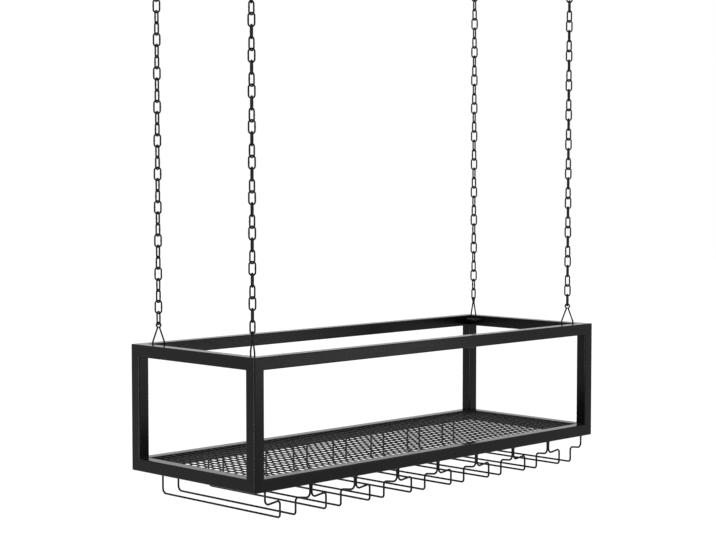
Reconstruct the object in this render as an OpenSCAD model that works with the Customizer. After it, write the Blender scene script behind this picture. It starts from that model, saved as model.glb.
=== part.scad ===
// Hanging wine glass rack: a tube frame with a welded wire shelf in its bottom and eight wire glass
// hangers under it, held by four chains from four screw hooks in the ceiling.
// Millimetres, +Z up. The origin is the middle of the four hook screws at the ceiling plane.
// +X runs along the long rails to the right, +Y to the back, and the front left corner is at -X, -Y.

/* [Frame] */
// outside length of the frame, along X
frame_l = 914; // [600:1:1400]
// outside depth of the frame, along Y
frame_d = 331; // [260:1:450]
// outside height of the frame
frame_h = 227; // [120:1:400]
// outside width of the square tube
tube_w = 22.2; // [18:0.1:28]
// wall thickness of the square tube
tube_wall = 1.5; // [1:0.1:2.5]
// outside corner radius of the square tube
tube_r = 2; // [1.6:0.1:3]

/* [Shelf mesh] */
// diameter of the wires that run front to back
cross_wire_d = 2.3; // [1.8:0.1:3]
// diameter of the wires that run left to right
long_wire_d = 1.8; // [1.5:0.1:3]
// spacing of the wires that run front to back
cross_pitch = 15.1; // [10:0.1:30]
// spacing of the wires that run left to right
long_pitch = 20.1; // [10:0.1:30]
// least distance from the axis of a shelf wire to the tube beside it
mesh_margin = 4; // [2:0.5:8]
// depth of the upper wire layer's top below the top of the bottom rails
mesh_drop = 1; // [0.5:0.1:5]
// gap between the two wire layers, so that they lie beside each other without a shared line
layer_gap = 0.06; // [0.02:0.01:0.2]

/* [Glass hangers] */
// diameter of the hanger wires
hanger_wire_d = 3.6; // [2.5:0.1:4]
// distance from the frame's end to the axis of the nearest hanger wire
hanger_end = 27.8; // [10:0.1:60]
// gap between the outer wires of neighbouring hangers
hanger_gap = 0.5; // [0.5:0.1:20]
// half the distance between a hanger's two runs, which is what a glass foot rests on
run_half_w = 18; // [12:0.1:24]
// depth of the runs below the rails
run_drop = 48.5; // [35:0.5:70]
// depth of the shoulder at the outer wire
shoulder_drop = 23.8; // [18:0.1:30]
// rise of the shoulder towards the inner wire
shoulder_rise = 4.9; // [0:0.1:10]
// inset of the front wires from the frame's front face
hanger_inset_front = 5.8; // [4:0.1:16]
// inset of the rear wires from the frame's back face
hanger_inset_back = 10.8; // [4:0.1:16]
// bend radius between the outer wire and the shoulder
shoulder_bend = 8; // [4:0.5:12]
// bend radius at the inner wire's two front bends
inner_bend = 5.5; // [3:0.5:8]
// bend radius at the rear end of the runs
rear_bend = 9; // [4:0.5:14]

/* [Corner bails] */
// diameter of the bail wire
bail_wire_d = 3; // [2:0.1:3.5]
// distance of the outer foot from the end rail's inner face, along X
foot_a_x = 4.3; // [3:0.1:11]
// distance of the outer foot from the long rail's inner face, along Y
foot_a_y = 6.8; // [5:0.1:15]
// distance of the inner foot from the end rail's inner face, along X
foot_b_x = 13.9; // [13:0.1:21]
// distance of the inner foot from the long rail's inner face, along Y
foot_b_y = 27.8; // [23:0.1:35]
// height of the feet's upper bend above the frame's top
stub_rise = 4; // [1:0.5:10]
// height of the eye's inner top above the frame's top
eye_rise = 37.3; // [28:0.1:60]
// centreline radius of the round eye
eye_r = 4.3; // [3.6:0.1:6]
// bend radius where a foot turns into its sloping leg
foot_bend = 5; // [3:0.5:10]
// bend radius at the neck under the eye
neck_bend = 2; // [1.6:0.1:3]
// length of wire between the eye and the neck's corner
neck_len = 1.8; // [1.5:0.1:2]
// radius of the upset head that holds a foot under its gusset
foot_head_r = 2.6; // [2.2:0.1:4]
// thickness of the upset head
foot_head_h = 1.6; // [1:0.1:3]

/* [Corner gussets] */
// thickness of the gusset plate
gusset_t = 3; // [2:0.5:5]
// depth of the plate's top below the frame's top
gusset_drop = 6; // [2:0.5:15]
// reach of the plate along the long rail, from the tube's inner face
gusset_x = 15; // [14:0.5:40]
// reach of the plate at the inner foot, from the tube's inner face along X
gusset_wide = 23; // [22:0.5:40]
// distance at which the plate has reached its full width, from the tube's inner face along Y
gusset_slant = 13; // [8:0.5:20]
// reach of the plate along the short rail, from the tube's inner face
gusset_y = 37; // [35:0.5:60]
// clearance of a foot in its hole, on the radius
foot_clear = 0.1; // [0.05:0.05:0.5]

/* [Chains] */
// number of links from a hook to an eye
link_count = 33; // [5:1:60]
// diameter of the link wire
link_wire_d = 3; // [2:0.1:4]
// inside length of a link
link_inner_l = 20.1; // [14:0.1:30]
// outside width of a link
link_outer_w = 14.1; // [11:0.1:20]
// gap between two links, and between the top link and its hook
link_gap = 0.4; // [0.3:0.05:0.8]
// gap between the lowest link and the bail's eye
eye_gap = 0.6; // [0.4:0.05:1]
// turn of each link against the one below it, which makes the chain wind slowly
link_turn = 60; // [60:1:120]
// direction of the lowest link at the front left and back right corners
link_dir_main = 3; // [-90:1:90]
// direction of the lowest link at the back left and front right corners
link_dir_other = 25; // [-90:1:90]

/* [Ceiling hooks] */
// diameter of the hook wire
hook_wire_d = 4; // [3:0.1:6]
// centreline radius of the hook
hook_r = 8; // [7:0.5:14]
// depth of the hook's inner bottom below the ceiling
hook_drop = 24; // [18:1:60]
// bend radius between the shank and the hook
hook_bend = 4; // [3:0.5:8]
// opening of the hook, from straight up to its tip
hook_mouth = 60; // [30:1:90]
// radius of the collar that stops the screw at the ceiling
collar_r = 7; // [5:0.5:12]
// thickness of the collar
collar_t = 1.6; // [1:0.1:3]
// length of the screw above the ceiling
screw_l = 28; // [15:1:60]
// length of the plain shank between the collar and the thread
screw_neck = 8; // [2:0.5:12]
// depth of the screw thread, which is cut into the wire
thread_depth = 0.5; // [0.2:0.1:1]
// pitch of the screw thread
thread_pitch = 2.5; // [1:0.5:4]
// length of the screw's point
screw_point = 5; // [2:0.5:10]
// radius of the flat at the very end of the point
screw_tip_r = 0.3; // [0.1:0.1:0.8]

/* [Wire bends] */
// thickening of a wire in its bends, on the radius
bend_swell = 0.03; // [0.03:0.01:0.1]
// length that a straight stretch of wire runs on into a bend
bend_overlap = 0.25; // [0.1:0.05:0.25]

/* [Hidden] */
$fn = 48;
// radius of the inside corner of the tube
tube_inner_r = tube_r - tube_wall;
// spacing of the links, the lowest link's inner bottom, the eye's inner top, the frame's top and underside
link_pitch = link_inner_l - link_gap;
chain_bottom = link_gap - hook_drop - (link_count - 1) * link_pitch - link_inner_l;
eye_top = chain_bottom + eye_gap;
frame_top = eye_top - eye_rise;
frame_bottom = frame_top - frame_h;
// height of the top of the bottom rails
rail_seat = frame_bottom + tube_w;
// inside length and depth of the frame
inner_l = frame_l - 2 * tube_w;
inner_d = frame_d - 2 * tube_w;
// number of shelf wires that run front to back, and of those that run left to right
cross_count = floor((inner_l - 2 * mesh_margin) / cross_pitch) + 1;
long_count = floor((inner_d - 2 * mesh_margin) / long_pitch) + 1;
// number of hangers, distance between the outer wires of neighbouring ones, half the distance between
// the outer wires of one, and the spacing of the hangers
hanger_count = 8;
hanger_apart = hanger_wire_d + hanger_gap;
hanger_half_w = (frame_l - 2 * hanger_end - (hanger_count - 1) * hanger_apart) / (2 * hanger_count);
hanger_pitch = 2 * hanger_half_w + hanger_apart;
// distance between a bail's two feet, the direction from one to the other, and the middle between them,
// which is how far the chains hang inside the frame's faces
foot_span = norm([foot_b_x - foot_a_x, foot_b_y - foot_a_y]);
foot_dir = atan2(foot_b_y - foot_a_y, foot_b_x - foot_a_x);
chain_x = tube_w + (foot_a_x + foot_b_x) / 2;
chain_y = tube_w + (foot_a_y + foot_b_y) / 2;
// centre height of a bail's eye
eye_z = eye_top - eye_r + bail_wire_d / 2;
// underside of the gussets
gusset_bottom = frame_top - gusset_drop - gusset_t;
// centreline radius and straight length of a link
link_r = (link_outer_w - link_wire_d) / 2;
link_straight = link_inner_l + link_wire_d - 2 * link_r;
// centre height of a hook
hook_z = hook_r - hook_drop - hook_wire_d / 2;
// finish
black = [0.11, 0.11, 0.115];
steel_black = [0.15, 0.15, 0.16];

FRAME_NODES = [
  "rail_top_front",
  "rail_top_back",
  "rail_top_left",
  "rail_top_right",
  "rail_bottom_front",
  "rail_bottom_back",
  "rail_bottom_left",
  "rail_bottom_right",
  "post_front_left",
  "post_front_right",
  "post_back_left",
  "post_back_right",
  "shelf_wires_cross",
  "shelf_wires_long"
];
HANGER_NODES = [
  for (i = [1 : hanger_count], side = ["left", "right"])
    str("hanger_", i, "_", side)
];
CORNER_NODES = [
  for (kind = ["gusset", "bail", "bottom_link", "chain", "top_link", "ceiling_hook"],
       corner = ["front_left", "front_right", "back_left", "back_right"])
    str(kind, "_", corner)
];

// direction from one point to another
function unit(v) = v / norm(v);

// angle through which a wire turns at b
function turn(a, b, c) = acos(unit(b - a) * unit(c - b));

// length that a bend of radius r takes off the wire on each side of its corner b
function trim(a, b, c, r) = r * tan(turn(a, b, c) / 2);

// Places its child with its x, y and z axes along the given directions.
module lay(x, y, z, at) {
  multmatrix([
    [x[0], y[0], z[0], at[0]],
    [x[1], y[1], z[1], at[1]],
    [x[2], y[2], z[2], at[2]],
    [0, 0, 0, 1]
  ])
    children();
}

// A straight length of wire.
module rod(from, to, r) {
  z = unit(to - from);
  x = unit(cross(abs(z[2]) > 0.9 ? [1, 0, 0] : [0, 0, 1], z));
  lay(x, cross(z, x), z, from)
    cylinder(h = norm(to - from), r = r);
}

// The bend of radius bend_r at corner b of a wire that comes from a and goes on to c.
module bend(a, b, c, bend_r, r) {
  ahead = unit(b - a);
  across = unit(unit(c - b) - ahead * (ahead * unit(c - b)));
  start = b - ahead * trim(a, b, c, bend_r);
  lay(-across, ahead, cross(-across, ahead), start + across * bend_r)
    rotate_extrude(angle = turn(a, b, c))
      translate([bend_r, 0])
        circle(r = r);
}

// A bent wire along the corners pts; bends holds the bend radius at each corner between the ends. The
// bends are a trace thicker than the straight stretches, which run on into them.
module bent_wire(pts, bends, r) {
  last = len(pts) - 1;
  for (i = [0 : last - 1]) {
    ahead = unit(pts[i + 1] - pts[i]);
    cut_a = i == 0 ? 0 : trim(pts[i - 1], pts[i], pts[i + 1], bends[i - 1]) - bend_overlap;
    cut_b = i == last - 1 ? 0 : trim(pts[i], pts[i + 1], pts[i + 2], bends[i]) - bend_overlap;
    rod(pts[i] + ahead * cut_a, pts[i + 1] - ahead * cut_b, r);
  }
  for (i = [1 : last - 1])
    bend(pts[i - 1], pts[i], pts[i + 1], bends[i - 1], r + bend_swell);
}

// Mirrors the front left corner, with the frame's outer corner as its origin, to any corner.
module in_corner(sx, sy) {
  mirror([sx > 0 ? 1 : 0, 0, 0])
    mirror([0, sy > 0 ? 1 : 0, 0])
      translate([-frame_l / 2, -frame_d / 2, 0])
        children();
}

// A square with round corners.
module round_square(w, r) {
  square([w - 2 * r, w], center = true);
  square([w, w - 2 * r], center = true);
  for (sx = [-1, 1], sy = [-1, 1])
    translate([sx * (w / 2 - r), sy * (w / 2 - r)])
      circle(r = r);
}

// The tube's wall in section.
module tube_section() {
  difference() {
    round_square(tube_w, tube_r);
    round_square(tube_w - 2 * tube_wall, tube_inner_r);
  }
}

// The plan of a rail of length l, its outer corners as round as the tube's.
module rail_plan(l) {
  translate([tube_r - l / 2, 0])
    square([l - 2 * tube_r, tube_w]);
  translate([-l / 2, tube_r])
    square([l, tube_w - tube_r]);
  for (sx = [-1, 1])
    translate([sx * (l / 2 - tube_r), tube_r])
      circle(r = tube_r);
}

// A rail of length l along X, its outer face at -Y, with both ends mitred towards the inside. The outer
// corners are ground round after welding, so the posts' corners run on over the rails.
module mitred_rail(l) {
  intersection() {
    translate([-l / 2, tube_w / 2, tube_w / 2])
      rotate([90, 0, 90])
        linear_extrude(height = l)
          tube_section();
    linear_extrude(height = tube_w)
      intersection() {
        polygon([[-l / 2, 0], [l / 2, 0], [l / 2 - tube_w, tube_w], [tube_w - l / 2, tube_w]]);
        rail_plan(l);
      }
  }
}

// The four sides of a rectangle of mitred rails: side 0 is the front, 1 the right, 2 the back, 3 the left.
module side_rail(side, z) {
  color(black)
    translate([0, 0, z])
      rotate([0, 0, 90 * side])
        translate([0, -(side % 2 == 0 ? frame_d : frame_l) / 2, 0])
          mitred_rail(side % 2 == 0 ? frame_l : frame_d);
}

module post(sx, sy) {
  color(black)
    translate([sx * (frame_l - tube_w) / 2, sy * (frame_d - tube_w) / 2, rail_seat])
      linear_extrude(height = frame_h - 2 * tube_w)
        tube_section();
}

// The upper layer of the shelf: wires from the front rail to the back rail.
module shelf_wires_cross() {
  color(black)
    for (i = [0 : cross_count - 1])
      translate([
        (i - (cross_count - 1) / 2) * cross_pitch,
        inner_d / 2,
        rail_seat - mesh_drop - cross_wire_d / 2
      ])
        rotate([90, 0, 0])
          cylinder(h = inner_d, d = cross_wire_d);
}

// The lower layer of the shelf: wires from the left rail to the right rail.
module shelf_wires_long() {
  color(black)
    for (i = [0 : long_count - 1])
      translate([
        -inner_l / 2,
        (i - (long_count - 1) / 2) * long_pitch,
        rail_seat - mesh_drop - cross_wire_d - layer_gap - long_wire_d / 2
      ])
        rotate([0, 90, 0])
          cylinder(h = inner_l, d = long_wire_d);
}

// One wire of hanger i: down from the front rail, in along the shoulder, down again, back as the run and
// up to the back rail. side is -1 for the left wire and 1 for the right one. On a short shoulder both of
// its bends are drawn in to its length.
module hanger_wire(i, side) {
  middle = (i - (hanger_count + 1) / 2) * hanger_pitch;
  outer_x = middle + side * hanger_half_w;
  run_x = middle + side * run_half_w;
  front_y = hanger_inset_front - frame_d / 2;
  back_y = frame_d / 2 - hanger_inset_back;
  pts = [
    [outer_x, front_y, frame_bottom],
    [outer_x, front_y, frame_bottom - shoulder_drop],
    [run_x, front_y, frame_bottom - shoulder_drop + shoulder_rise],
    [run_x, front_y, frame_bottom - run_drop],
    [run_x, back_y, frame_bottom - run_drop],
    [run_x, back_y, frame_bottom]
  ];
  in_bends = trim(pts[0], pts[1], pts[2], shoulder_bend) + trim(pts[1], pts[2], pts[3], inner_bend);
  fit = min(1, norm(pts[2] - pts[1]) / in_bends);
  color(black)
    bent_wire(pts, [fit * shoulder_bend, fit * inner_bend, inner_bend, rear_bend], hanger_wire_d / 2);
}

// A plate welded into the corner below the top rails, with a hole for each foot of the bail.
module gusset(sx, sy) {
  hole_r = bail_wire_d / 2 + foot_clear;
  color(black)
    in_corner(sx, sy)
      translate([0, 0, gusset_bottom])
        linear_extrude(height = gusset_t)
          difference() {
            translate([tube_w, tube_w])
              polygon([
                [0, 0],
                [gusset_x, 0],
                [gusset_wide, gusset_slant],
                [gusset_wide, gusset_y],
                [0, gusset_y]
              ]);
            translate([tube_w + foot_a_x, tube_w + foot_a_y])
              circle(r = hole_r);
            translate([tube_w + foot_b_x, tube_w + foot_b_y])
              circle(r = hole_r);
          }
}

// One half of a bail, in the XZ plane: the upset head, the foot, the sloping leg and the neck.
module bail_half() {
  eye_end = [eye_r * cos(45), 0, eye_z - eye_r * sin(45)];
  upward = [cos(45), 0, sin(45)];
  bent_wire(
    [
      [foot_span / 2, 0, gusset_bottom],
      [foot_span / 2, 0, frame_top + stub_rise],
      eye_end - upward * neck_len,
      eye_end + upward * bend_overlap
    ],
    [foot_bend, neck_bend],
    bail_wire_d / 2
  );
  translate([foot_span / 2, 0, gusset_bottom - foot_head_h])
    cylinder(h = foot_head_h, r = foot_head_r);
}

// A bail: two feet, two sloping legs and the round eye that the chain's lowest link runs through.
module bail(sx, sy) {
  color(steel_black)
    in_corner(sx, sy)
      translate([chain_x, chain_y, 0])
        rotate([0, 0, foot_dir]) {
          bail_half();
          mirror([1, 0, 0])
            bail_half();
          translate([0, 0, eye_z])
            rotate([90, 0, 0])
              rotate([0, 0, -45])
                rotate_extrude(angle = 270)
                  translate([eye_r, 0])
                    circle(r = bail_wire_d / 2 + bend_swell);
        }
}

// Link i of a chain, counted from the eye up, standing on the chain's line in its own direction.
module link(i, first_dir, step) {
  translate([0, 0, chain_bottom + link_inner_l / 2 + (i - 1) * link_pitch])
    rotate([0, 0, first_dir + (i - 1) * step])
      for (end = [-1, 1]) {
        translate([0, 0, end * link_straight / 2])
          rotate([end * 90, 0, 0])
            rotate_extrude(angle = 180)
              translate([link_r, 0])
                circle(d = link_wire_d);
        translate([end * link_r, 0, -link_straight / 2])
          cylinder(h = link_straight, d = link_wire_d);
      }
}

// Links first to last of the chain in one corner. The chains of neighbouring corners wind opposite ways.
module links(sx, sy, first, last) {
  color(steel_black)
    translate([sx * (frame_l / 2 - chain_x), sy * (frame_d / 2 - chain_y), 0])
      for (i = [first : last])
        link(i, sx == sy ? link_dir_main : link_dir_other, sx == sy ? link_turn : -link_turn);
}

// A screw hook in the ceiling, turned square to the link that hangs in it.
module ceiling_hook(sx, sy) {
  r = hook_wire_d / 2;
  wound = (link_count - 1) * link_turn;
  top_dir = sx == sy ? link_dir_main + wound : link_dir_other - wound;
  join = [-hook_r * cos(45), 0, hook_z + hook_r * sin(45)];
  tip = 90 - hook_mouth;
  color(steel_black)
    translate([sx * (frame_l / 2 - chain_x), sy * (frame_d / 2 - chain_y), 0])
      rotate([0, 0, top_dir + 90]) {
        bent_wire(
          [
            [0, 0, -collar_t / 2],
            [0, 0, join[2] - join[0]],
            join - [cos(45), 0, sin(45)] * bend_overlap
          ],
          [hook_bend],
          r
        );
        translate([0, 0, hook_z])
          rotate([90, 0, 0])
            rotate([0, 0, 135])
              rotate_extrude(angle = 225 + tip)
                translate([hook_r, 0])
                  circle(r = r + bend_swell);
        translate([hook_r * cos(tip), 0, hook_z + hook_r * sin(tip)])
          sphere(r = r);
        translate([0, 0, -collar_t])
          cylinder(h = collar_t, r = collar_r);
        screw();
      }
}

// The screw above the collar: a plain shank, a core with ridges for its thread, and a point.
module screw() {
  r = hook_wire_d / 2;
  core_r = r - thread_depth;
  cylinder(h = screw_neck, r = r);
  cylinder(h = screw_l - screw_point, r = core_r);
  translate([0, 0, screw_l - screw_point])
    cylinder(h = screw_point, r1 = core_r, r2 = screw_tip_r);
  for (z = [screw_neck + thread_pitch / 2 : thread_pitch : screw_l - screw_point - thread_pitch / 2])
    translate([0, 0, z]) {
      cylinder(h = thread_pitch / 4, r1 = core_r, r2 = r);
      translate([0, 0, thread_pitch / 4])
        cylinder(h = thread_pitch / 4, r1 = r, r2 = core_r);
    }
}

side_rail(0, frame_top - tube_w);  // rail_top_front
side_rail(2, frame_top - tube_w);  // rail_top_back
side_rail(3, frame_top - tube_w);  // rail_top_left
side_rail(1, frame_top - tube_w);  // rail_top_right
side_rail(0, frame_bottom);  // rail_bottom_front
side_rail(2, frame_bottom);  // rail_bottom_back
side_rail(3, frame_bottom);  // rail_bottom_left
side_rail(1, frame_bottom);  // rail_bottom_right
post(-1, -1);  // post_front_left
post(1, -1);  // post_front_right
post(-1, 1);  // post_back_left
post(1, 1);  // post_back_right
shelf_wires_cross();
shelf_wires_long();
hanger_wire(1, -1);  // hanger_1_left
hanger_wire(1, 1);  // hanger_1_right
hanger_wire(2, -1);  // hanger_2_left
hanger_wire(2, 1);  // hanger_2_right
hanger_wire(3, -1);  // hanger_3_left
hanger_wire(3, 1);  // hanger_3_right
hanger_wire(4, -1);  // hanger_4_left
hanger_wire(4, 1);  // hanger_4_right
hanger_wire(5, -1);  // hanger_5_left
hanger_wire(5, 1);  // hanger_5_right
hanger_wire(6, -1);  // hanger_6_left
hanger_wire(6, 1);  // hanger_6_right
hanger_wire(7, -1);  // hanger_7_left
hanger_wire(7, 1);  // hanger_7_right
hanger_wire(8, -1);  // hanger_8_left
hanger_wire(8, 1);  // hanger_8_right
gusset(-1, -1);  // gusset_front_left
gusset(1, -1);  // gusset_front_right
gusset(-1, 1);  // gusset_back_left
gusset(1, 1);  // gusset_back_right
bail(-1, -1);  // bail_front_left
bail(1, -1);  // bail_front_right
bail(-1, 1);  // bail_back_left
bail(1, 1);  // bail_back_right
links(-1, -1, 1, 1);  // bottom_link_front_left
links(1, -1, 1, 1);  // bottom_link_front_right
links(-1, 1, 1, 1);  // bottom_link_back_left
links(1, 1, 1, 1);  // bottom_link_back_right
links(-1, -1, 2, link_count - 1);  // chain_front_left
links(1, -1, 2, link_count - 1);  // chain_front_right
links(-1, 1, 2, link_count - 1);  // chain_back_left
links(1, 1, 2, link_count - 1);  // chain_back_right
links(-1, -1, link_count, link_count);  // top_link_front_left
links(1, -1, link_count, link_count);  // top_link_front_right
links(-1, 1, link_count, link_count);  // top_link_back_left
links(1, 1, link_count, link_count);  // top_link_back_right
ceiling_hook(-1, -1);  // ceiling_hook_front_left
ceiling_hook(1, -1);  // ceiling_hook_front_right
ceiling_hook(-1, 1);  // ceiling_hook_back_left
ceiling_hook(1, 1);  // ceiling_hook_back_right
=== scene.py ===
import math

import bpy
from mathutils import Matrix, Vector


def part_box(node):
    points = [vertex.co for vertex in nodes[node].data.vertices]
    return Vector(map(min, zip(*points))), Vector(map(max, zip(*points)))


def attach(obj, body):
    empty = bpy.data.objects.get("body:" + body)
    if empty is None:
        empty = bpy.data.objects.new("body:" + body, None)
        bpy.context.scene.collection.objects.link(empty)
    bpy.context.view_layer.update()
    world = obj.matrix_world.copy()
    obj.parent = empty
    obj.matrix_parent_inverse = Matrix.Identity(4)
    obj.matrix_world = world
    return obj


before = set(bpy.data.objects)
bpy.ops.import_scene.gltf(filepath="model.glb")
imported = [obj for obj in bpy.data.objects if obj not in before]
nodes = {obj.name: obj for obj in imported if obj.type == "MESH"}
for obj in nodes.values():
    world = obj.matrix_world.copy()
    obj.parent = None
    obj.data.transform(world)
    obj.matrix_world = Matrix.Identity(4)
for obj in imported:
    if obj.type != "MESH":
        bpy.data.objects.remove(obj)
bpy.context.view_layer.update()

# The box frame: two rectangles of mitred square steel tube and four posts between them. The welds on the
# outside are ground flush and the corners round, and the whole frame is powder coated satin black after
# welding, which leaves a fine orange peel in the coat.


def coat(name, tone, gloss, peel):
    """A black powder coat: tone is its grey, gloss its mean roughness, and peel how deep its peel is."""
    blue_cast = 1.025
    gloss_spread = 0.05
    mat = bpy.data.materials.new(name)
    mat.use_nodes = True
    tree = mat.node_tree
    shader = tree.nodes["Principled BSDF"]
    shader.inputs["Metallic"].default_value = 0.0
    shader.inputs["IOR"].default_value = 1.5
    shader.inputs["Specular IOR Level"].default_value = 0.115
    place = tree.nodes.new("ShaderNodeTexCoord")

    # Broad clouds, in which the coat lies a little thicker and paler.
    clouds = tree.nodes.new("ShaderNodeTexNoise")
    clouds.inputs["Scale"].default_value = 11.0
    clouds.inputs["Detail"].default_value = 4.0
    tree.links.new(place.outputs["Object"], clouds.inputs["Vector"])
    tones = tree.nodes.new("ShaderNodeValToRGB")
    for stop, position, share in zip(tones.color_ramp.elements, (0.3, 0.7), (0.8, 1.2)):
        stop.position = position
        stop.color = (tone * share, tone * share, tone * share * blue_cast, 1)
    tree.links.new(clouds.outputs["Fac"], tones.inputs["Fac"])
    tree.links.new(tones.outputs["Color"], shader.inputs["Base Color"])

    # A fine mottle in the gloss.
    mottle = tree.nodes.new("ShaderNodeTexNoise")
    mottle.inputs["Scale"].default_value = 160.0
    mottle.inputs["Detail"].default_value = 3.0
    tree.links.new(place.outputs["Object"], mottle.inputs["Vector"])
    sheen = tree.nodes.new("ShaderNodeMapRange")
    sheen.inputs["From Min"].default_value = 0.3
    sheen.inputs["From Max"].default_value = 0.7
    sheen.inputs["To Min"].default_value = gloss - gloss_spread
    sheen.inputs["To Max"].default_value = gloss + gloss_spread
    tree.links.new(mottle.outputs["Fac"], sheen.inputs["Value"])
    tree.links.new(sheen.outputs["Result"], shader.inputs["Roughness"])

    # The orange peel.
    grain = tree.nodes.new("ShaderNodeTexNoise")
    grain.inputs["Scale"].default_value = 900.0
    grain.inputs["Detail"].default_value = 1.5
    tree.links.new(place.outputs["Object"], grain.inputs["Vector"])
    bump = tree.nodes.new("ShaderNodeBump")
    bump.inputs["Strength"].default_value = peel
    bump.inputs["Distance"].default_value = 0.0003
    tree.links.new(grain.outputs["Fac"], bump.inputs["Height"])
    tree.links.new(bump.outputs["Normal"], shader.inputs["Normal"])
    return mat


def finish_in(piece, mat):
    """Gives a piece or a CAD node one material all over."""
    piece.data.materials.clear()
    piece.data.materials.append(mat)


tube_w = 0.0222
half_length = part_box("rail_top_right")[1].x
half_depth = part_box("rail_top_back")[1].y
inner_x = half_length - tube_w
inner_y = half_depth - tube_w
frame_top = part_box("rail_top_front")[1].z
frame_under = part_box("rail_bottom_front")[0].z
frame_coat = coat("satin_black_frame_coat", tone=0.0042, gloss=0.2, peel=0.1)
for name, node in nodes.items():
    if name.startswith(("rail_", "post_")):
        finish_in(node, frame_coat)

# The inside fillet welds of the frame: a short bead on the two inner sides of each post, where its ends
# meet the rails. They are left as laid and coated with the frame, so the ripples of each bead still show.


def only(piece):
    """Leaves one piece selected, because an operator acts on all that is selected."""
    bpy.ops.object.select_all(action="DESELECT")
    piece.select_set(True)
    bpy.context.view_layer.objects.active = piece


def settle(piece, spot, turn=0.0):
    """Turns a piece about Z, in radians, moves it to its spot and keeps its place in its mesh."""
    only(piece)
    piece.rotation_euler = (0, 0, turn)
    piece.location = spot
    bpy.ops.object.transform_apply(location=True, rotation=True, scale=True)


def twin(piece, name):
    """A copy of a piece with a mesh of its own."""
    only(piece)
    bpy.ops.object.duplicate()
    copied = bpy.context.object
    copied.name = name
    return copied


def in_a_row(piece, count, step):
    """Repeats a piece count times, each a step on from the last, in one mesh."""
    only(piece)
    row = piece.modifiers.new("row", "ARRAY")
    row.use_relative_offset = False
    row.use_constant_offset = True
    row.constant_offset_displace = step
    row.count = count
    bpy.ops.object.modifier_apply(modifier=row.name)


def smooth(piece, angle):
    """Shades a piece smooth up to an angle between faces, in degrees."""
    only(piece)
    bpy.ops.object.shade_smooth_by_angle(angle=math.radians(angle))


def bead(name, length, radius, step, seed):
    """A weld bead along X about the origin, of thin ripples that lean back over each other."""
    thinness, lean, roughness = 0.62, 0.35, 0.05
    bpy.ops.object.select_all(action="DESELECT")
    bpy.ops.mesh.primitive_uv_sphere_add(segments=12, ring_count=8, radius=radius)
    laid = bpy.context.object
    laid.name = name
    bpy.ops.object.mode_set(mode="EDIT")
    bpy.ops.mesh.select_all(action="SELECT")
    bpy.ops.transform.resize(value=(thinness, 1, 1), center_override=(0, 0, 0))
    bpy.ops.transform.rotate(value=lean, orient_axis="Y", center_override=(0, 0, 0))
    bpy.ops.object.mode_set(mode="OBJECT")
    count = int((length - 2 * radius) / step) + 1
    in_a_row(laid, count, (step, 0, 0))
    bpy.ops.object.mode_set(mode="EDIT")
    bpy.ops.mesh.select_all(action="SELECT")
    bpy.ops.transform.vertex_random(offset=radius * roughness, seed=seed)
    bpy.ops.object.mode_set(mode="OBJECT")
    settle(laid, (-(count - 1) * step / 2, 0, 0))
    smooth(laid, angle=50)
    return laid


corners = {"front_left": (-1, -1), "front_right": (1, -1), "back_left": (-1, 1), "back_right": (1, 1)}
quarter_turn = math.radians(90)
first_bead = bead("post_weld", length=0.0165, radius=0.0017, step=0.00095, seed=7)
for corner, (sx, sy) in corners.items():
    post_x = sx * (half_length - tube_w / 2)
    post_y = sy * (half_depth - tube_w / 2)
    for level, z in (("top", frame_top - tube_w), ("bottom", frame_under + tube_w)):
        for way, spot, turn in (
            ("y", (sx * inner_x, post_y, z), quarter_turn),
            ("x", (post_x, sy * inner_y, z), 0.0),
        ):
            run = twin(first_bead, f"weld_{level}_{corner}_along_{way}")
            settle(run, spot, turn)
            finish_in(run, frame_coat)
            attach(run, "rack")
bpy.data.objects.remove(first_bead)

# The ground welds of the frame: where a post meets a rail, weld metal fills the groove along the rail's
# rounded edge. It is ground flush with the post's faces, so no seam shows under the coat.
tube_round = 0.002
bpy.ops.object.select_all(action="DESELECT")
bpy.ops.mesh.primitive_cube_add(size=1, scale=(tube_w, tube_w, tube_round))
first_fill = bpy.context.object
first_fill.name = "ground_weld"
bpy.ops.object.transform_apply(location=True, rotation=True, scale=True)
bpy.ops.object.mode_set(mode="EDIT")
bpy.ops.mesh.select_mode(type="EDGE")
bpy.ops.mesh.select_all(action="DESELECT")
bpy.ops.object.mode_set(mode="OBJECT")
points = first_fill.data.vertices
for edge in first_fill.data.edges:
    low, high = (points[i].co for i in edge.vertices)
    edge.select = abs(low.z - high.z) > tube_round / 2
bpy.ops.object.mode_set(mode="EDIT")
bpy.ops.mesh.bevel(offset=tube_round, segments=8, affect="EDGES")
bpy.ops.mesh.select_mode(type="VERT")
bpy.ops.object.mode_set(mode="OBJECT")
for corner, (sx, sy) in corners.items():
    post_x = sx * (half_length - tube_w / 2)
    post_y = sy * (half_depth - tube_w / 2)
    for level, z in (
        ("top", frame_top - tube_w + tube_round / 2),
        ("bottom", frame_under + tube_w - tube_round / 2),
    ):
        fill = twin(first_fill, f"ground_weld_{level}_{corner}")
        settle(fill, (post_x, post_y, z))
        smooth(fill, angle=50)
        finish_in(fill, frame_coat)
        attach(fill, "rack")
bpy.data.objects.remove(first_fill)

# The shelf: drawn wire in two layers, spot welded to a grid at every crossing and to the inner faces of
# the bottom rails at every end. Each crossing is pressed together and leaves a small lens of squeezed
# steel, and each wire end a low round weld.


def middle_of(name):
    """The middle of a CAD node's box at rest."""
    low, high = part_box(name)
    return (low + high) / 2


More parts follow.
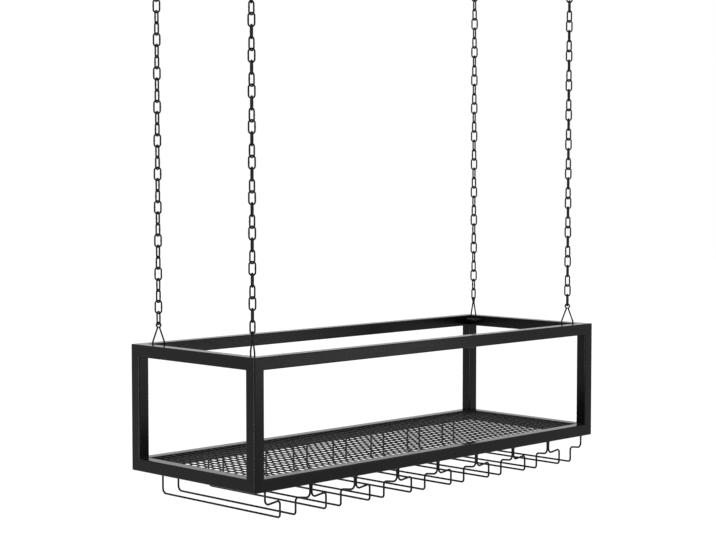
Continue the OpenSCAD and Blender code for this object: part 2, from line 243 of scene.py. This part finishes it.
def flared(name, sides, profile):
    """A closed round weld about Z: profile is its (radius, height) from the face it sits on."""
    bpy.ops.object.select_all(action="DESELECT")
    radius, height = profile[0]
    bpy.ops.mesh.primitive_circle_add(
        vertices=sides, radius=radius, fill_type="NGON", location=(0, 0, height)
    )
    weld = bpy.context.object
    weld.name = name
    bpy.ops.object.transform_apply(location=True, rotation=True, scale=True)
    bpy.ops.object.mode_set(mode="EDIT")
    bpy.ops.mesh.select_all(action="SELECT")
    for wide, high in profile[1:]:
        bpy.ops.mesh.extrude_region_move(TRANSFORM_OT_translate={"value": (0, 0, high - height)})
        shrink = wide / radius
        bpy.ops.transform.resize(value=(shrink, shrink, 1), center_override=(0, 0, 0))
        radius, height = wide, high
    bpy.ops.mesh.select_all(action="SELECT")
    bpy.ops.mesh.normals_make_consistent(inside=False)
    bpy.ops.object.mode_set(mode="OBJECT")
    return weld


def stand_on(piece, normal):
    """Turns a piece that was modelled about Z so that its Z follows a normal, about the origin."""
    only(piece)
    piece.rotation_mode = "QUATERNION"
    piece.rotation_quaternion = Vector(normal).to_track_quat("Z", "Y")
    bpy.ops.object.transform_apply(location=True, rotation=True, scale=True)
    piece.rotation_mode = "XYZ"


cross_count, cross_pitch = 58, 0.0151
long_count, long_pitch = 14, 0.0201
cross_z = middle_of("shelf_wires_cross").z
long_z = middle_of("shelf_wires_long").z
first_cross_x = -(cross_count - 1) / 2 * cross_pitch
first_long_y = -(long_count - 1) / 2 * long_pitch
mesh_coat = coat("satin_black_mesh_coat", tone=0.006, gloss=0.2, peel=0.1)
for name in ("shelf_wires_cross", "shelf_wires_long"):
    finish_in(nodes[name], mesh_coat)

cross_weld = ((0.0021, -0.0002), (0.0021, 0.0002), (0.0018, 0.0008), (0.0013, 0.0012), (0.0009, 0.0013))
for side, sy in (("front", -1), ("back", 1)):
    row = flared(f"mesh_end_welds_{side}", sides=8, profile=cross_weld)
    stand_on(row, (0, -sy, 0))
    in_a_row(row, cross_count, (cross_pitch, 0, 0))
    settle(row, (first_cross_x, sy * inner_y, cross_z))
    smooth(row, angle=70)
    finish_in(row, mesh_coat)
    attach(row, "rack")

long_weld = ((0.0017, -0.0002), (0.0017, 0.0002), (0.0014, 0.0007), (0.00105, 0.001), (0.0007, 0.0011))
for side, sx in (("left", -1), ("right", 1)):
    row = flared(f"mesh_end_welds_{side}", sides=8, profile=long_weld)
    stand_on(row, (-sx, 0, 0))
    in_a_row(row, long_count, (0, long_pitch, 0))
    settle(row, (sx * inner_x, first_long_y, long_z))
    smooth(row, angle=70)
    finish_in(row, mesh_coat)
    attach(row, "rack")

lens_radius, lens_flatness = 0.0011, 0.5
bpy.ops.object.select_all(action="DESELECT")
bpy.ops.mesh.primitive_uv_sphere_add(segments=8, ring_count=4, radius=lens_radius)
lenses = bpy.context.object
lenses.name = "mesh_spot_welds"
bpy.ops.object.mode_set(mode="EDIT")
bpy.ops.mesh.select_all(action="SELECT")
bpy.ops.transform.resize(value=(1, 1, lens_flatness), center_override=(0, 0, 0))
bpy.ops.object.mode_set(mode="OBJECT")
in_a_row(lenses, cross_count, (cross_pitch, 0, 0))
in_a_row(lenses, long_count, (0, long_pitch, 0))
settle(lenses, (first_cross_x, first_long_y, (cross_z + long_z) / 2))
smooth(lenses, angle=70)
finish_in(lenses, mesh_coat)
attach(lenses, "rack")

# The glass hangers: eight pairs of bent round rod. Each rod is butt welded up against the underside of
# the front rail and of the back rail, and a small flared weld stays round its end.
hanger_count = 8
hanger_end = 0.0278
hanger_apart = 0.0041
hanger_half_w = (half_length - hanger_end - (hanger_count - 1) * hanger_apart / 2) / hanger_count
hanger_pitch = 2 * hanger_half_w + hanger_apart
first_hanger_x = -(hanger_count - 1) / 2 * hanger_pitch
run_half_w = 0.018
front_inset, back_inset = 0.0058, 0.0108
hanger_coat = coat("satin_black_hanger_coat", tone=0.006, gloss=0.4, peel=0.1)
for name, node in nodes.items():
    if name.startswith("hanger_"):
        finish_in(node, hanger_coat)

rod_weld_roughness = 0.00012
rod_weld = (
    (0.0034, 0.0002),
    (0.0033, -0.0003),
    (0.0028, -0.0008),
    (0.0024, -0.0014),
    (0.0020, -0.0021),
    (0.0016, -0.0023),
)
for end, y, half_w in (
    ("front", front_inset - half_depth, hanger_half_w),
    ("back", half_depth - back_inset, run_half_w),
):
    for side, sx in (("left", -1), ("right", 1)):
        row = flared(f"hanger_welds_{end}_{side}", sides=20, profile=rod_weld)
        only(row)
        bpy.ops.object.mode_set(mode="EDIT")
        bpy.ops.mesh.select_all(action="SELECT")
        bpy.ops.transform.vertex_random(offset=rod_weld_roughness, seed=11)
        bpy.ops.object.mode_set(mode="OBJECT")
        in_a_row(row, hanger_count, (hanger_pitch, 0, 0))
        settle(row, (first_hanger_x + sx * half_w, y, frame_under))
        smooth(row, angle=70)
        finish_in(row, hanger_coat)
        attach(row, "rack")

# The corner gussets: small plates of cut steel, set into the corners just below the top rails' faces,
# with two holes for a bail's feet. A bead along each rail's inner face holds the plate.
gusset_x, gusset_y = 0.015, 0.037
gusset_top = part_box("gusset_front_left")[1].z
gusset_coat = coat("satin_black_gusset_coat", tone=0.006, gloss=0.65, peel=0.2)
for corner in corners:
    finish_in(nodes[f"gusset_{corner}"], gusset_coat)
for way, length, x, y, turn in (
    ("x", 0.0135, inner_x - gusset_x / 2, inner_y, 0.0),
    ("y", 0.033, inner_x, inner_y - gusset_y / 2, quarter_turn),
):
    laid = bead(f"gusset_weld_{way}", length=length, radius=0.0013, step=0.0008, seed=5)
    for corner, (sx, sy) in corners.items():
        run = twin(laid, f"gusset_weld_{corner}_along_{way}")
        settle(run, (sx * x, sy * y, gusset_top), turn)
        finish_in(run, gusset_coat)
        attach(run, "rack")
    bpy.data.objects.remove(laid)

# The bails: one round wire each, bent to a V with an eye at its top. Its feet go down through the gusset
# and are upset to round heads below it. A short weld joins the two legs at the neck, where the eye closes.
neck_rise = 0.0302
feet_turn = 65.4
bail_coat = coat("satin_black_bail_coat", tone=0.006, gloss=0.4, peel=0.1)
first_tack = bead("neck_weld", length=0.0034, radius=0.0011, step=0.0006, seed=3)
for corner, (sx, sy) in corners.items():
    finish_in(nodes[f"bail_{corner}"], bail_coat)
    eye = middle_of(f"bottom_link_{corner}")
    tack = twin(first_tack, f"bail_neck_weld_{corner}")
    settle(tack, (eye.x, eye.y, frame_top + neck_rise), math.radians(sx * sy * feet_turn))
    finish_in(tack, bail_coat)
    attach(tack, "rack")
bpy.data.objects.remove(first_tack)

# The chains: welded links of black coated wire, each a sixth of a turn on from the last. Every link is
# closed by a butt weld in the middle of one straight side, which leaves a low ring of burr.
link_count = 33
link_pitch = 0.0197
link_side = 0.00555
link_turn = 60
link_dir_main = 3
link_dir_other = 25
chain_coat = coat("satin_black_chain_coat", tone=0.006, gloss=0.4, peel=0.1)
burr = (
    (0.00145, -0.0013),
    (0.00165, -0.0008),
    (0.0018, -0.0003),
    (0.0018, 0.0003),
    (0.00165, 0.0008),
    (0.00145, 0.0013),
)


def link_burrs(name, corner, first, last, body):
    """The burrs of a run of links, first to last, on one chain."""
    sx, sy = corners[corner]
    way = 1 if sx == sy else -1
    lowest_dir = link_dir_main if sx == sy else link_dir_other
    burrs = flared(name, sides=12, profile=burr)
    settle(burrs, (link_side, 0, 0))
    settle(burrs, (0, 0, 0), math.radians(lowest_dir + way * link_turn * (first - 1)))
    bpy.ops.object.select_all(action="DESELECT")
    bpy.ops.object.empty_add(location=(0, 0, link_pitch), rotation=(0, 0, math.radians(way * link_turn)))
    step = bpy.context.object
    only(burrs)
    if last > first:
        row = burrs.modifiers.new("links", "ARRAY")
        row.use_relative_offset = False
        row.use_object_offset = True
        row.offset_object = step
        row.count = last - first + 1
        bpy.context.view_layer.update()
        bpy.ops.object.modifier_apply(modifier=row.name)
    bpy.data.objects.remove(step)
    lowest = middle_of(f"bottom_link_{corner}")
    settle(burrs, (lowest.x, lowest.y, lowest.z + link_pitch * (first - 1)))
    smooth(burrs, angle=70)
    finish_in(burrs, chain_coat)
    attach(burrs, body)


for corner in corners:
    for name in ("bottom_link_", "chain_", "top_link_"):
        finish_in(nodes[name + corner], chain_coat)
    link_burrs(f"bottom_link_burr_{corner}", corner, 1, 1, f"{corner}_bottom_link")
    link_burrs(f"chain_burrs_{corner}", corner, 2, link_count - 1, f"{corner}_chain")
    link_burrs(f"top_link_burr_{corner}", corner, link_count, link_count, f"{corner}_top_link")

# The ceiling hooks: round wire bent to an open hook, with a pressed collar that stops at the ceiling and
# a wood thread above it.
hook_coat = coat("satin_black_hook_coat", tone=0.006, gloss=0.4, peel=0.1)
for corner in corners:
    finish_in(nodes[f"ceiling_hook_{corner}"], hook_coat)

# The studio floor: a pale painted floor far below the hanging rack. It keeps the rack's faint shadow, and
# looks white to the camera and in reflections.


def in_sight(tree):
    """The switch of a tree: 1 for camera, glossy and transmission rays, 0 for the rays that give light."""
    rays = tree.nodes.new("ShaderNodeLightPath")
    seen = tree.nodes.new("ShaderNodeMath")
    seen.operation = "MAXIMUM"
    tree.links.new(rays.outputs["Is Camera Ray"], seen.inputs[0])
    tree.links.new(rays.outputs["Is Glossy Ray"], seen.inputs[1])
    seen_too = tree.nodes.new("ShaderNodeMath")
    seen_too.operation = "MAXIMUM"
    tree.links.new(seen.outputs["Value"], seen_too.inputs[0])
    tree.links.new(rays.outputs["Is Transmission Ray"], seen_too.inputs[1])
    return seen_too.outputs["Value"]


floor_z = -2.4
floor_side = 60
floor_grey = 0.82
floor_glow = 0.65
bpy.ops.object.select_all(action="DESELECT")
bpy.ops.mesh.primitive_plane_add(size=floor_side, location=(0, 0, floor_z))
floor = bpy.context.object
floor.name = "studio_floor"
bpy.ops.object.transform_apply(location=True, rotation=True, scale=True)
floor_paint = bpy.data.materials.new("studio_floor_paint")
floor_paint.use_nodes = True
tree = floor_paint.node_tree
paint = tree.nodes["Principled BSDF"]
paint.inputs["Base Color"].default_value = (floor_grey, floor_grey, floor_grey, 1)
paint.inputs["Roughness"].default_value = 0.9
paint.inputs["Specular IOR Level"].default_value = 0.1
lift = tree.nodes.new("ShaderNodeMath")
lift.operation = "MULTIPLY"
lift.inputs[1].default_value = floor_glow
tree.links.new(in_sight(tree), lift.inputs[0])
glow = tree.nodes.new("ShaderNodeEmission")
glow.inputs["Color"].default_value = (1, 1, 1, 1)
tree.links.new(lift.outputs["Value"], glow.inputs["Strength"])
both = tree.nodes.new("ShaderNodeAddShader")
tree.links.new(paint.outputs["BSDF"], both.inputs[0])
tree.links.new(glow.outputs["Emission"], both.inputs[1])
tree.links.new(both.outputs["Shader"], tree.nodes["Material Output"].inputs["Surface"])
finish_in(floor, floor_paint)

# The white room: it is plain white where the camera or a reflection sees it, and gives the rack only half
# of that as light from all sides.
room_light = 0.5
room_white = 1.0
world = bpy.data.worlds.new("studio_white")
bpy.context.scene.world = world
world.use_nodes = True
tree = world.node_tree
tree.nodes.clear()
soft = tree.nodes.new("ShaderNodeBackground")
soft.inputs["Color"].default_value = (1, 1, 1, 1)
soft.inputs["Strength"].default_value = room_light
white = tree.nodes.new("ShaderNodeBackground")
white.inputs["Color"].default_value = (1, 1, 1, 1)
white.inputs["Strength"].default_value = room_white
mixed = tree.nodes.new("ShaderNodeMixShader")
tree.links.new(in_sight(tree), mixed.inputs["Fac"])
tree.links.new(soft.outputs["Background"], mixed.inputs[1])
tree.links.new(white.outputs["Background"], mixed.inputs[2])
output = tree.nodes.new("ShaderNodeOutputWorld")
tree.links.new(mixed.outputs["Shader"], output.inputs["Surface"])

# The lamps: a strip box low at the left, which draws the fine light line down the posts' corners, and a
# weak soft box at the right. Both face the middle of the rack.
rack_middle = Vector((0, 0, -0.82))
for name, spot, width, height, watts in (
    ("strip_box_left", (-3.35, 0.61, -1.28), 0.35, 0.55, 42),
    ("soft_box_right", (1.5, -2.1, -0.7), 0.95, 0.9, 5),
):
    lamp = bpy.data.lights.new(name, "AREA")
    lamp.shape = "RECTANGLE"
    lamp.size = width
    lamp.size_y = height
    lamp.energy = watts
    box = bpy.data.objects.new(name, lamp)
    bpy.context.scene.collection.objects.link(box)
    box.location = spot
    box.rotation_euler = (rack_middle - Vector(spot)).to_track_quat("-Z", "Y").to_euler()

# The camera: where the photograph was taken from, a little above the frame. Its spot, lens and line of
# sight were fitted to the straight edges of the frame.
camera_spot = (-2.3216, -2.2689, -0.4028)
line_of_sight = Vector((0.7065, 0.7054, -0.0578))
camera = bpy.data.cameras.new("photo_camera")
camera.lens = 85.95
camera.sensor_width = 36
camera.sensor_fit = "HORIZONTAL"
camera.clip_end = 100
stand = bpy.data.objects.new("photo_camera", camera)
bpy.context.scene.collection.objects.link(stand)
stand.location = camera_spot
stand.rotation_euler = line_of_sight.to_track_quat("-Z", "Y").to_euler()
bpy.context.scene.camera = stand
bpy.context.scene.view_settings.view_transform = "Standard"
